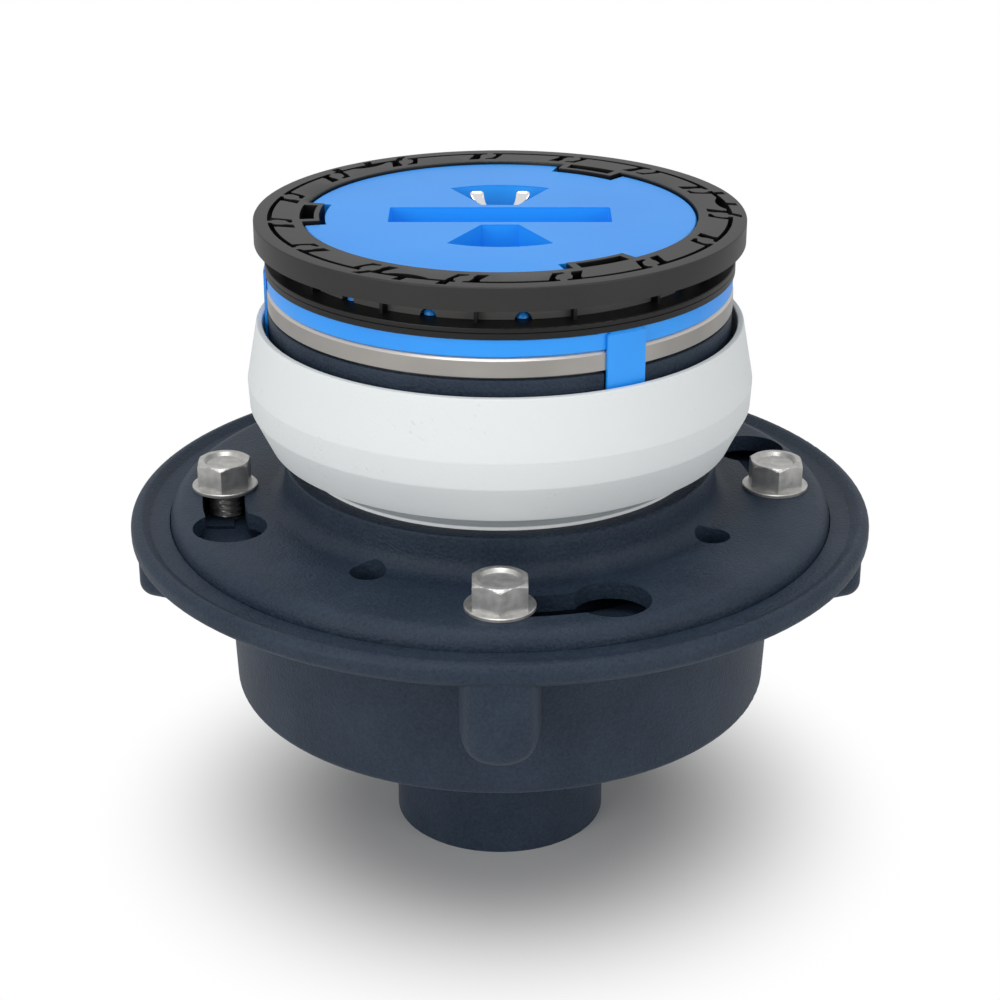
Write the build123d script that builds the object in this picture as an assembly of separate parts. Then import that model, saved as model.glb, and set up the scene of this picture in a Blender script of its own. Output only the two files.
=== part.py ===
"""Adjustable floor drain: body with no-hub outlet, clamp collar, threaded head and dust cover.

Millimetres, +Z up. The origin is the centre of the outlet's lower end.
Angles are counted from the front (-Y) towards +X, so a piece made at the front is turned
into place with one rotation about Z.
"""
import os
from math import asin, cos, degrees, radians, sin, tan

from build123d import *

# Drain body
OUTLET_R = 29.85            # 2 in no-hub outlet, outside
BORE_R = 24.9               # 2 in no-hub outlet, inside
SUMP_FLOOR = 44.9           # underside of the sump
FLOOR_THICK = 5.0
SUMP_R = 74.4               # sump wall at its foot, before the draft
SUMP_TOP_R = 76.2
SUMP_WALL = 5.2
FLANGE_R = 101.6            # 8 in flange
LEDGE_TOP = 94.7            # seat of the waterproofing membrane
LIP_RISE = 1.9
FLANGE_THICK = 8.3
RECESS_DEPTH = 3.3
RECESS_R = 91.1
MOUTH_R = 65.0
BOSS_SETBACK = 1.0          # boss faces behind the flange's edge
BOSS_HALF = 10.5
BOSS_DROP = 24.9
QUARTERS = [0, 90, 180, 270]
FLANGE_UNDER = LEDGE_TOP - FLANGE_THICK
RECESS_FLOOR = LEDGE_TOP - RECESS_DEPTH

# Clamp collar and its bolts
RECESS_GAP = 0.3
COLLAR_HEIGHT = 8.35
PLATE_THICK = 4.6
HUB_R = 59.1
HUB_RISE = 10.85
HUB_DROP = 7.4
BOLT_CIRCLE_R = 76.2        # 6 in bolt circle
BOLT_R = 4.76               # 3/8 in
TAPPED_GAP = 0.1
TAPPED_DEPTH = 19.4
TAPPED_SPARE = 2.4
WASHER_R = 9.0
WASHER_THICK = 1.3
HEX_FLATS = 14.3
HEX_HEIGHT = 6.75
KEY_SLOT_WIDTH = 11.5
KEY_HEAD_R = 9.9
KEY_TURN = 21.2             # from the bolt to the large end of its slot
WEEP_R = 4.7
WEEP_CIRCLE_R = 65.3
WEEP_TURN = 59.0
PLATE_TOP = RECESS_FLOOR + COLLAR_HEIGHT
PLATE_UNDER = PLATE_TOP - PLATE_THICK
HUB_TOP = PLATE_TOP + HUB_RISE
HUB_BOTTOM = RECESS_FLOOR - HUB_DROP
TAPPED_BOTTOM = RECESS_FLOOR - TAPPED_DEPTH
BOLT_TIP = TAPPED_BOTTOM + TAPPED_SPARE
BOLT_TOP = PLATE_TOP + WASHER_THICK + HEX_HEIGHT

# Foam ring
FOAM_GAP = 0.5              # to the shank
FOAM_HEIGHT = 39.5
FOAM_WALL = 1.65

# Head collar and the heights below the finished floor
SHANK_R = 52.2
SHANK_GAP = 0.3             # running clearance of the thread, whose turns are left out
SHANK_BOTTOM = 80.0
THROAT_R = 47.7
CONE_RISE = 8.9             # cone above the hub
CONE_HEIGHT = 9.9
HEAD_R = 61.9
HEAD_WALL = 4.9
SHELF_WALL = 4.1
FRAME_TOP = 159.6           # finished floor
SEAT_DEPTH = 4.0
FRAME_THICK = 4.0
SHELF_THICK = 4.0
RIM_THICK = 5.1
RELIEF = 0.8
CONE_LOW = HUB_TOP + CONE_RISE
CONE_HIGH = CONE_LOW + CONE_HEIGHT
FRAME_LEDGE = FRAME_TOP - SEAT_DEPTH
SHELF_TOP = FRAME_LEDGE - FRAME_THICK
SHELF_LOW = SHELF_TOP - SHELF_THICK
RELIEF_TOP = FRAME_TOP - RIM_THICK
HEAD_TOP = RELIEF_TOP - RELIEF
SHELF_WALL_R = HEAD_R - SHELF_WALL

# Strainer and its frame
FRAME_PROUD = 0.1           # rim past the head
RIM_WIDTH = 5.9
SEAT_WIDTH = 4.6
SEAT_GAP = 0.3
STRAINER_SUNK = 0.3
SLOT_RINGS = [(13.5, 4), (29.0, 8), (42.0, 12)]    # circle radius, number of slots
SLOT_WIDTH = 6.0
FRAME_SCREW_TURNS = [45, 165, 285]
STRAINER_SCREW_IN = 2.5     # inside the shelf
STRAINER_SCREW_TURNS = [90, 270]
FRAME_R = HEAD_R + FRAME_PROUD
LEDGE_R = FRAME_R - RIM_WIDTH
SHELF_R = LEDGE_R - SEAT_WIDTH
PLATE_R = LEDGE_R - SEAT_GAP
STRAINER_SCREW_R = SHELF_R - STRAINER_SCREW_IN
STRAINER_TOP = FRAME_TOP - STRAINER_SUNK
FRAME_SCREW_CIRCLE = (LEDGE_R + SHELF_R) / 2

# Cover: legs, brim, skirt, disc and pockets
THIRDS = [29.8, 149.8, 269.8]          # turns of the legs and of the ring's lugs
LEG_HALF = 4.7
LEG_PROUD = 0.75            # leg's face past the head
LEG_THICK = 2.2
LEG_GAP = 0.45
LEG_LENGTH = 28.6
GROOVE_SIDE_GAP = 1.2
BRIM_BACK = 0.1             # brim behind the head
BRIM_THICK = 4.6
SKIRT_R = 53.6
SKIRT_WALL = 2.0
DISC_R = 51.7
COVER_RISE = 17.9
DISC_THICK = 3.0
SHOULDER_DEPTH = 2.1
GRIP_R = 29.3               # pockets end on this circle
BAR_HALF = 7.0
BAR_DEPTH = 12.0
GRIP_NEAR = 9.3
GRIP_NEAR_HALF = 4.85
GRIP_FAR_HALF = 13.5
GRIP_DEPTH = 15.0
POCKET_WALL = 2.0
WING_Y = 20.3
WING_SHANK_R = 2.4
WING_GAP = 0.5
BEAD_R = 1.9                # beads of the skirt snap into arches of the ring's neck
BEAD_PROUD = 2.0
BRIM_R = HEAD_R - BRIM_BACK
BRIM_TOP = FRAME_TOP + BRIM_THICK
DISC_TOP = FRAME_TOP + COVER_RISE
SHOULDER = DISC_TOP - SHOULDER_DEPTH
BAR_FLOOR = DISC_TOP - BAR_DEPTH
GRIP_FLOOR = DISC_TOP - GRIP_DEPTH
LEG_FOOT = FRAME_TOP - LEG_LENGTH
LEG_OUTER_R = HEAD_R + LEG_PROUD
LEG_INNER_R = LEG_OUTER_R - LEG_THICK
GROOVE_FLOOR_R = LEG_INNER_R - LEG_GAP
WING_HOLE_R = WING_SHANK_R + WING_GAP

# Guide ring: deck of tabs on a neck
DECK_RISE = 0.7             # deck above the cover's disc
DECK_THICK = 3.6
DECK_R = 64.83
DECK_GAP = 0.46             # to the disc's edge
EDGE_DEPTH = 6.03
EDGE_WALL = 2.2
SHOULDER_GAP = 0.3
NECK_GAP = 0.5              # to the skirt
NECK_WALL = 2.05
FOOT_R = 62.3
FOOT_THICK = 3.0
ARCH_GAP = 0.25
LUG_R = 47.6
LUG_HALF_TURN = 9.85
LUG_DEPTH = 8.0
WINDOW_R, WINDOW_OUTER_R = 48.9, 52.7
WINDOW_HALF_TURN = 7.6
WINDOW_DEPTH = 6.0
NOTCH_GAP = 1.6             # between a lug and its notch in the cover
NOTCH_FLOOR_GAP = 1.7
NOTCH_WALL = 1.5
TABS = 15
TAB_PITCH = 360 / TABS
FIRST_GAP = 16.4            # turn of one boundary between two tabs
SLOT_DEPTH = 2.8
SLIT_IN, SLIT_OUT = 59.9, 61.15
# The two curved slots at each boundary: turn from the boundary, radius
SLOT_A = [(-5.7, 61.1), (-3.1, 61.1), (-3.3, 58.4), (-2.2, 56.4), (0.0, 55.5), (-0.2, 54.7),
          (-3.0, 54.7), (-4.4, 57.6), (-5.2, 60.0)]
SLOT_B = [(-1.1, 61.1), (-0.9, 60.2), (0.5, 59.7), (1.2, 57.8), (1.2, 56.4), (2.0, 54.7),
          (5.1, 54.7), (4.0, 56.8), (3.0, 58.8), (3.0, 60.3), (2.4, 61.1)]
# Special tabs have a half-moon for a slot, and three notches in the rim
MOON_MIDDLE = 9.6           # from the boundary before the tab
MOON_HALF = 6.8
MOON_R = 58.2
NOTCH_R = 63.5
NOTCHES = [[(-1.2, 61.0), (0.9, 61.0), (-0.9, NOTCH_R), (-3.2, NOTCH_R)],
           [(8.0, 61.0), (10.2, 61.0), (9.4, NOTCH_R), (7.2, NOTCH_R)],
           [(18.0, 60.9), (20.3, 60.9), (19.8, NOTCH_R), (17.4, NOTCH_R)]]
GUSSET_TURN = 1.8           # from the boundary
GUSSET_HALF = 0.45
GUSSET_REACH = 2.4
DECK_TOP = DISC_TOP + DECK_RISE
DECK_UNDER = DECK_TOP - DECK_THICK
DECK_HOLE_R = DISC_R + DECK_GAP
EDGE_BOTTOM = DECK_TOP - EDGE_DEPTH
NECK_HOLE_R = SKIRT_R + NECK_GAP
NECK_R = NECK_HOLE_R + NECK_WALL
FOOT_TOP = BRIM_TOP + FOOT_THICK
BEAD_TURNS = [turn for turn in range(0, 360, 24) if turn % 120]    # counted from a leg


def polar(turn, radius):
    """Return the point at a turn from the front, on a circle."""
    return radius * sin(radians(turn)), -radius * cos(radians(turn))


def outline(*corners):
    """Return a face in the XZ plane; a corner's third value is its rounding."""
    points = [Vector(corner[0], 0, corner[1]) for corner in corners]
    ends = []
    for index, corner in enumerate(corners):
        here = points[index]
        if len(corner) < 3:
            ends.append((here, None, here))
            continue
        back = (points[index - 1] - here).normalized()
        ahead = (points[(index + 1) % len(points)] - here).normalized()
        half = radians(back.get_angle(ahead)) / 2
        reach, depth = corner[2] / tan(half), corner[2] / sin(half) - corner[2]
        middle = here + (back + ahead).normalized() * depth
        ends.append((here + back * reach, middle, here + ahead * reach))
    edges = []
    for index, (start, middle, stop) in enumerate(ends):
        if middle is not None:
            edges.append(ThreePointArc(start, middle, stop))
        following = ends[(index + 1) % len(ends)][0]
        if (following - stop).length > 1e-5:
            edges.append(Line(stop, following))
    return make_face(edges)


def lathe(*corners):
    """Turn an outline of (radius, height) corners about Z."""
    return revolve(outline(*corners), Axis.Z)


def disc(radius, low, high):
    """Return a cylinder on the axis between two heights."""
    return Pos(0, 0, (low + high) / 2) * Cylinder(radius, high - low)


def block(half, near, far, low, high):
    """Return a box at the front between two radii."""
    return Pos(0, -(near + far) / 2, (low + high) / 2) * Box(2 * half, far - near, high - low)


def prism(face, low, high):
    """Raise a face of the XY plane from one height to another."""
    return extrude(Pos(0, 0, low) * face, amount=high - low, dir=(0, 0, 1))


def sector(inner, outer, start, stop):
    """Return the flat piece of a ring between two turns."""
    low, high = (CenterArc((0, 0), radius, start - 90, stop - start) for radius in (inner, outer))
    return make_face([low, high, Line(low @ 0, high @ 0), Line(low @ 1, high @ 1)])


def polygon(points, turn=0.0):
    """Return the flat polygon through (turn, radius) points."""
    return make_face(Polyline(*[polar(turn + t, r) for t, r in points], close=True))


def around(shape, turns):
    """Return copies of a piece made at the front, turned about Z."""
    return [Rot(0, 0, turn) * shape for turn in turns]


def cut(shape, tools):
    """Take every tool from the shape."""
    return shape - tools


def drain_body():
    """Cast body: outlet, sump, flange with a recess for the collar, four bolt bosses."""
    floor_top = SUMP_FLOOR + FLOOR_THICK
    boss_low = LEDGE_TOP - BOSS_DROP
    body = lathe(
        (BORE_R, 0), (OUTLET_R, 0), (OUTLET_R, SUMP_FLOOR, 2.0), (SUMP_R, SUMP_FLOOR, 2.4),
        (SUMP_TOP_R, FLANGE_UNDER, 2.0), (FLANGE_R - 9.6, FLANGE_UNDER, 2.0),
        (FLANGE_R - 3.3, LEDGE_TOP - 5.5, 2.0), (FLANGE_R, LEDGE_TOP - 3.1, 2.0),
        (FLANGE_R, LEDGE_TOP + 0.9, 2.2), (FLANGE_R - 2.6, LEDGE_TOP + LIP_RISE, 1.5),
        (FLANGE_R - 5.3, LEDGE_TOP, 1.2), (RECESS_R, LEDGE_TOP), (RECESS_R, RECESS_FLOOR),
        (MOUTH_R, RECESS_FLOOR, 1.0), (MOUTH_R, FLANGE_UNDER),
        (SUMP_TOP_R - SUMP_WALL - 0.5, FLANGE_UNDER - 4.0, 2.0),
        (SUMP_R - SUMP_WALL, floor_top + 2.5, 4.0), (BORE_R, floor_top),
    )
    face = outline((-BOSS_HALF, RECESS_FLOOR), (BOSS_HALF, RECESS_FLOOR),
                   (BOSS_HALF - 1.3, boss_low, 8.5), (1.3 - BOSS_HALF, boss_low, 8.5))
    boss = extrude(Pos(0, 2.4 - SUMP_R, 0) * face, amount=FLANGE_R, dir=(0, -1, 0))
    boss &= disc(FLANGE_R - BOSS_SETBACK, boss_low, LEDGE_TOP)
    boss += block(BOLT_R + 2.7, BOLT_CIRCLE_R - 9.2, BOLT_CIRCLE_R, boss_low, FLANGE_UNDER + 1.6)
    hole_r = BOLT_R + TAPPED_GAP
    hole = Pos(0, -BOLT_CIRCLE_R, 0) * disc(hole_r, TAPPED_BOTTOM, RECESS_FLOOR + 1)
    body += around(boss, QUARTERS)
    return cut(body, around(hole, QUARTERS))


def clamp_collar():
    """Cast ring that clamps the membrane: plate, rolled rim, threaded hub, bayonet slots."""
    rim_r = RECESS_R - RECESS_GAP
    bore_r = SHANK_R + SHANK_GAP
    ring = lathe(
        (rim_r, RECESS_FLOOR), (rim_r, PLATE_TOP, 5.0), (HUB_R + 0.4, PLATE_TOP, 5.0),
        (HUB_R, HUB_TOP, 0.8), (bore_r, HUB_TOP, 0.4), (bore_r, HUB_BOTTOM),
        (HUB_R + 0.9, HUB_BOTTOM), (HUB_R + 0.9, PLATE_UNDER, 1.5),
        (rim_r - 3.6, PLATE_UNDER), (rim_r - 3.6, RECESS_FLOOR),
    )
    path = CenterArc((0, 0), BOLT_CIRCLE_R, -90.5, KEY_TURN + 0.5)
    large_end = Pos(*polar(KEY_TURN, BOLT_CIRCLE_R + 0.8)) * Circle(KEY_HEAD_R)
    keyhole = SlotArc(path, KEY_SLOT_WIDTH) + large_end
    slot = prism(keyhole, PLATE_UNDER - 0.5, PLATE_TOP + 1)
    weep = Pos(0, -WEEP_CIRCLE_R, 0) * disc(WEEP_R, PLATE_UNDER - 0.5, HUB_TOP)
    weeps = around(weep, [WEEP_TURN + turn for turn in QUARTERS])
    return cut(ring, around(slot, QUARTERS) + weeps)


def clamp_bolt():
    """Indented hex washer-head bolt; its head keeps a corner to the front."""
    head_low = PLATE_TOP + WASHER_THICK
    hexagon = RegularPolygon(HEX_FLATS / 2, 6, major_radius=False, rotation=30)
    head = prism(hexagon, head_low - 0.2, BOLT_TOP)
    head &= lathe((0, PLATE_TOP), (WASHER_R, PLATE_TOP), (WASHER_R, BOLT_TOP - 1.0),
                  (HEX_FLATS / 2 - 0.25, BOLT_TOP), (0, BOLT_TOP))
    washer = lathe((0, PLATE_TOP), (WASHER_R, PLATE_TOP), (WASHER_R, PLATE_TOP + 0.7),
                   (WASHER_R - 0.8, head_low), (0, head_low))
    shank = lathe((0, BOLT_TIP), (BOLT_R - 0.8, BOLT_TIP), (BOLT_R, BOLT_TIP + 0.8),
                  (BOLT_R, PLATE_TOP + 0.1), (0, PLATE_TOP + 0.1))
    indent_r = HEX_FLATS / 2 - 1.55
    indent = lathe((0, BOLT_TOP - 0.9), (indent_r - 1.0, BOLT_TOP - 0.9), (indent_r, BOLT_TOP),
                   (indent_r, BOLT_TOP + 1), (0, BOLT_TOP + 1))
    return head + washer + shank - indent


def foam_ring():
    """White foam ring that stands on the hub and keeps concrete off the head."""
    inner = SHANK_R + FOAM_GAP
    upper_inner = HEAD_R + 1.6
    top = HUB_TOP + FOAM_HEIGHT
    return lathe(
        (inner, HUB_TOP), (inner + 1.7, HUB_TOP), (inner + 1.7, HUB_TOP + 1.0),
        (inner + 1.2, HUB_TOP + 1.5), (inner + 1.2, HUB_TOP + 4.8, 1.0),
        (inner + 10.0, HUB_TOP + 6.2, 0.8), (upper_inner + 4.2, HUB_TOP + 16.6, 2.0),
        (upper_inner + 4.57, HUB_TOP + 23.75, 3.0), (upper_inner + 2.6, top - 5.2),
        (upper_inner + FOAM_WALL, top, 0.4), (upper_inner, top, 0.4),
        (upper_inner, CONE_HIGH + 0.5, 1.0), (inner, CONE_LOW - 0.6, 1.0),
    )


def head_collar():
    """Cast head: shank in the hub, cone, wide neck with grooves for the cover's legs."""
    inner = HEAD_R - HEAD_WALL
    head = lathe(
        (THROAT_R, SHANK_BOTTOM), (SHANK_R, SHANK_BOTTOM), (SHANK_R, CONE_LOW), (HEAD_R, CONE_HIGH),
        (HEAD_R, HEAD_TOP, 0.6), (SHELF_WALL_R, HEAD_TOP), (SHELF_WALL_R, SHELF_TOP),
        (SHELF_R, SHELF_TOP), (SHELF_R, SHELF_LOW), (inner, SHELF_LOW),
        (inner, CONE_HIGH + 1.6), (THROAT_R, CONE_LOW + 1.5),
    )
    groove = block(LEG_HALF + GROOVE_SIDE_GAP, GROOVE_FLOOR_R, HEAD_R + 8, CONE_LOW, HEAD_TOP + 1)
    screw_hole = Pos(0, -FRAME_SCREW_CIRCLE, 0) * disc(1.4, SHELF_LOW - 1, SHELF_TOP + 1)
    return cut(head, around(groove, THIRDS) + around(screw_hole, FRAME_SCREW_TURNS))


def strainer_frame():
    """Nickel frame: bevelled rim, ledge for the strainer, two lugs for its screws."""
    frame = lathe(
        (SHELF_R, SHELF_TOP), (SHELF_WALL_R - SEAT_GAP, SHELF_TOP),
        (SHELF_WALL_R - SEAT_GAP, HEAD_TOP), (FRAME_R - 1.6, HEAD_TOP), (FRAME_R - 1.6, RELIEF_TOP),
        (FRAME_R, RELIEF_TOP), (FRAME_R, FRAME_TOP - 1.0),
        (FRAME_R - 1.0, FRAME_TOP), (LEDGE_R, FRAME_TOP), (LEDGE_R, FRAME_LEDGE),
        (SHELF_R, FRAME_LEDGE),
    )
    lug = block(5.0, STRAINER_SCREW_R - 4.2, SHELF_R + 1.0, SHELF_TOP, FRAME_LEDGE)
    lug_hole = Pos(0, -STRAINER_SCREW_R, 0) * disc(2.0, SHELF_TOP - 1, FRAME_LEDGE + 1)
    notch = block(LEG_HALF + LEG_GAP, GROOVE_FLOOR_R, HEAD_R + 8, HEAD_TOP - 1, FRAME_TOP + 1)
    sunk = lathe((0, SHELF_TOP - 1), (1.5, SHELF_TOP - 1), (1.5, FRAME_LEDGE - 1.2),
                 (2.35, FRAME_LEDGE - 0.2), (2.35, FRAME_LEDGE + 1), (0, FRAME_LEDGE + 1))
    sunk = Pos(0, -FRAME_SCREW_CIRCLE, 0) * sunk
    frame += around(lug, STRAINER_SCREW_TURNS)
    return cut(frame, around(lug_hole, STRAINER_SCREW_TURNS) + around(notch, THIRDS)
               + around(sunk, FRAME_SCREW_TURNS))


def flat_screw(head_r, shank_r, top, taper, tip, slot):
    """Return a countersunk screw on the axis with a driver slot."""
    screw = lathe((0, tip), (shank_r, tip), (shank_r, top - taper), (head_r, top - 0.2),
                  (head_r, top), (0, top))
    return screw - Pos(0, 0, top) * Box(2 * head_r + 1, slot, taper * 0.8)


def strainer_plate():
    """Flat strainer with rings of curved slots and a hole for the cover's wing screw."""
    plate = lathe((0, FRAME_LEDGE), (PLATE_R, FRAME_LEDGE), (PLATE_R, STRAINER_TOP - 0.4),
                  (PLATE_R - 0.4, STRAINER_TOP), (0, STRAINER_TOP))
    slots = []
    for radius, count in SLOT_RINGS:
        pitch = 360 / count
        bridge = degrees(11.0 / radius)
        path = CenterArc((0, 0), radius, 0, pitch - bridge)
        slot = prism(SlotArc(path, SLOT_WIDTH), FRAME_LEDGE - 1, STRAINER_TOP + 1)
        slots += around(slot, [bridge / 2 + pitch * index for index in range(count)])
    wing_hole = Pos(0, WING_Y, 0) * disc(WING_HOLE_R, FRAME_LEDGE - 1, STRAINER_TOP + 1)
    sunk = lathe((0, FRAME_LEDGE - 1), (2.1, FRAME_LEDGE - 1), (2.1, STRAINER_TOP - 1.9),
                 (3.7, STRAINER_TOP - 0.2), (3.7, STRAINER_TOP + 1), (0, STRAINER_TOP + 1))
    sunk = Pos(0, -STRAINER_SCREW_R, 0) * sunk
    return cut(plate, slots + [wing_hole] + around(sunk, STRAINER_SCREW_TURNS))


def grip_face():
    """Outline of the front finger recess: narrow near the bar, an arc at the far side."""
    far_turn = degrees(asin(GRIP_FAR_HALF / GRIP_R))
    right, left = polar(far_turn, GRIP_R), polar(-far_turn, GRIP_R)
    near_right, near_left = (GRIP_NEAR_HALF, -GRIP_NEAR), (-GRIP_NEAR_HALF, -GRIP_NEAR)
    return make_face([Line(near_left, near_right), Line(near_right, right),
                      ThreePointArc(right, (0, -GRIP_R), left), Line(left, near_left)])


def cover_cap():
    """Blue cover: disc, skirt, brim, three long legs, two finger recesses and a bar slot."""
    skirt_in = SKIRT_R - SKIRT_WALL
    under = DISC_TOP - DISC_THICK
    cap = lathe(
        (0, DISC_TOP), (DISC_R, DISC_TOP, 0.5), (DISC_R, SHOULDER), (SKIRT_R, SHOULDER),
        (SKIRT_R, BRIM_TOP), (BRIM_R, BRIM_TOP, 0.3), (BRIM_R, FRAME_TOP, 0.3),
        (skirt_in, FRAME_TOP), (skirt_in, under), (0, under),
    )
    grip, bar = grip_face(), RectangleRounded(2 * GRIP_R, 2 * BAR_HALF, 0.5)
    grip_walls = prism(offset(grip, POCKET_WALL), GRIP_FLOOR - POCKET_WALL, under + 1)
    bar_walls = prism(offset(bar, POCKET_WALL), BAR_FLOOR - POCKET_WALL, under + 1)

    notch_r = LUG_R - NOTCH_GAP
    notch_floor = DECK_TOP - LUG_DEPTH - NOTCH_FLOOR_GAP
    notch_half = LUG_HALF_TURN + degrees(NOTCH_GAP / LUG_R)
    wall_half = notch_half + degrees(NOTCH_WALL / notch_r)
    notch_face = sector(notch_r, SKIRT_R + 5, -notch_half, notch_half)
    wall_face = sector(notch_r - NOTCH_WALL, skirt_in + 0.8, -wall_half, wall_half)
    notch_walls = prism(wall_face, notch_floor - NOTCH_WALL, under + 0.5)

    leg = block(LEG_HALF, LEG_INNER_R - 10, HEAD_R + 8, LEG_FOOT, BRIM_TOP)
    leg &= lathe((LEG_INNER_R, LEG_FOOT - 1), (LEG_OUTER_R, LEG_FOOT - 1),
                 (LEG_OUTER_R, BRIM_TOP - 0.6), (LEG_OUTER_R - 0.6, BRIM_TOP), (LEG_INNER_R, BRIM_TOP))
    bead = Pos(0, BEAD_R - SKIRT_R - BEAD_PROUD, FOOT_TOP) * Sphere(BEAD_R)
    bead &= block(BEAD_R, SKIRT_R - 1, SKIRT_R + BEAD_PROUD, FOOT_TOP + 0.1, DECK_TOP)
    beads = around(bead, [THIRDS[0] + turn for turn in BEAD_TURNS])
    cap += around(grip_walls, [0, 180]) + [bar_walls] + around(notch_walls, THIRDS)
    cap += around(leg, THIRDS) + beads

    grip_cut = prism(grip, GRIP_FLOOR, DISC_TOP + 1)
    bar_cut = prism(bar, BAR_FLOOR, DISC_TOP + 1)
    notch_cut = prism(notch_face, notch_floor, DISC_TOP + 1)
    shank_hole = Pos(0, WING_Y, 0) * disc(WING_HOLE_R, FRAME_LEDGE, GRIP_FLOOR + 1)
    return cut(cap, around(grip_cut, [0, 180]) + [bar_cut, shank_hole]
               + around(notch_cut, THIRDS))


def wing_screw():
    """Chromed wing screw that ties the cover to the strainer."""
    seat, top = GRIP_FLOOR, DECK_TOP
    tip = SHELF_TOP - 1.6
    stem = lathe((0, tip), (WING_SHANK_R - 0.6, tip), (WING_SHANK_R, tip + 0.6),
                 (WING_SHANK_R, seat), (4.5, seat, 0.4), (4.5, seat + 3.2, 0.8),
                 (3.0, seat + 5.2, 1.0), (3.0, seat + 7.0, 0.8), (0, seat + 7.0))
    wing = outline((0.8, seat + 3.5), (3.9, seat + 2.7, 0.8), (5.3, top - 5.6, 2.0),
                   (6.3, top - 3.0, 0.8), (8.2, top - 1.9, 0.8), (7.9, top, 1.0),
                   (4.6, top, 1.0), (3.9, top - 2.9, 1.0), (2.2, top - 5.8, 1.0),
                   (0.8, top - 8.8))
    blade = extrude(Pos(0, 1.4, 0) * wing, amount=2.8, dir=(0, -1, 0))
    return Pos(0, WING_Y, 0) * (stem + [blade, Rot(0, 0, 180) * blade])


def deck_slots(gap, special):
    """Return the flat outlines of the slots of one boundary and of the tab after it."""
    flat = [polygon(SLOT_A, gap), polygon(SLOT_B, gap)]
    if not special:
        return flat + [sector(SLIT_IN, SLIT_OUT, gap - 0.6, gap + TAB_PITCH - 2.6)]
    left, right = polar(-MOON_HALF, SLIT_OUT), polar(MOON_HALF, SLIT_OUT)
    moon = make_face([ThreePointArc(left, (0, -MOON_R), right),
                      ThreePointArc(right, (0, -SLIT_OUT), left)])
    return flat + [
        Rot(0, 0, gap + MOON_MIDDLE) * moon,
        sector(SLIT_IN, SLIT_OUT, gap - 0.6, gap + MOON_MIDDLE - MOON_HALF + 1.5),
        sector(SLIT_IN, SLIT_OUT, gap + MOON_MIDDLE + MOON_HALF - 1.5, gap + TAB_PITCH - 2.6),
    ] + [polygon(notch, gap) for notch in NOTCHES]


def guide_ring():
    """Black ring: deck with fifteen slotted tabs, neck with arches, foot and three lugs."""
    lip_under = SHOULDER + SHOULDER_GAP
    groove = BRIM_TOP + FOOT_THICK / 2
    ring = lathe(
        (NECK_HOLE_R, BRIM_TOP), (FOOT_R, BRIM_TOP), (FOOT_R, groove), (FOOT_R - 0.2, groove + 0.15),
        (FOOT_R, groove + 0.3), (FOOT_R, FOOT_TOP, 0.3), (NECK_R, FOOT_TOP), (NECK_R, DECK_UNDER),
        (DECK_R - EDGE_WALL, DECK_UNDER), (DECK_R - EDGE_WALL, EDGE_BOTTOM), (DECK_R, EDGE_BOTTOM),
        (DECK_R, DECK_TOP, 0.4), (DECK_HOLE_R, DECK_TOP, 0.3), (DECK_HOLE_R, lip_under),
        (NECK_HOLE_R, lip_under),
    )
    lug_face = sector(LUG_R, NECK_HOLE_R + 0.5, -LUG_HALF_TURN, LUG_HALF_TURN)
    lug = prism(lug_face, DECK_TOP - LUG_DEPTH, DECK_TOP)
    gusset = block(GUSSET_HALF, NECK_R - 0.5, NECK_R + GUSSET_REACH, FOOT_TOP, DECK_UNDER + 0.5)
    gaps = [FIRST_GAP + TAB_PITCH * index for index in range(TABS)]
    ring += around(lug, THIRDS) + around(gusset, [gap + GUSSET_TURN for gap in gaps])

    window_face = sector(WINDOW_R, WINDOW_OUTER_R, -WINDOW_HALF_TURN, WINDOW_HALF_TURN)
    window = prism(window_face, DECK_TOP - WINDOW_DEPTH, DECK_TOP + 1)
    slots = []
    for index, gap in enumerate(gaps):
        for face in deck_slots(gap, index % 5 == 3):
            slots.append(prism(face, DECK_TOP - SLOT_DEPTH, DECK_TOP + 1))
    arch = Pos(0, -NECK_R, FOOT_TOP) * Rot(90, 0, 0) * Cylinder(BEAD_R + ARCH_GAP, 3 * NECK_WALL)
    arch &= block(2 * BEAD_R, SKIRT_R - 1, NECK_R + 1, FOOT_TOP, DECK_UNDER)
    arches = around(arch, [THIRDS[0] + turn for turn in BEAD_TURNS])
    return cut(ring, slots + arches + around(window, THIRDS))


nodes = {
    "drain_body": drain_body(),
    "clamp_collar": clamp_collar(),
    "foam_ring": foam_ring(),
    "head_collar": head_collar(),
    "strainer_frame": strainer_frame(),
    "strainer_plate": strainer_plate(),
    "cover_cap": cover_cap(),
    "wing_screw": wing_screw(),
    "guide_ring": guide_ring(),
}
for number, turn in enumerate(QUARTERS, 1):
    nodes[f"clamp_bolt_{number}"] = Pos(*polar(turn, BOLT_CIRCLE_R)) * clamp_bolt()
for number, turn in enumerate(FRAME_SCREW_TURNS, 1):
    screw = flat_screw(2.1, 1.3, FRAME_LEDGE - 0.1, 1.1, SHELF_LOW + 0.6, 0.6)
    nodes[f"frame_screw_{number}"] = Pos(*polar(turn, FRAME_SCREW_CIRCLE)) * screw
for number, turn in enumerate(STRAINER_SCREW_TURNS, 1):
    screw = flat_screw(3.6, 1.9, STRAINER_TOP - 0.1, 1.8, SHELF_TOP + 0.4, 1.0)
    nodes[f"strainer_screw_{number}"] = Pos(*polar(turn, STRAINER_SCREW_R)) * screw

os.makedirs("parts", exist_ok=True)
for name, shape in nodes.items():
    export_step(shape, f"parts/{name}.step")
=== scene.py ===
"""Looks of the adjustable floor drain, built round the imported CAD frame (Blender 4.5).

Everything is in metres in the row frame: the origin is the middle of the outlet's lower end,
+Z is up and the photographed front looks along +Y from the -Y side.
"""
from __future__ import annotations

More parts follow.
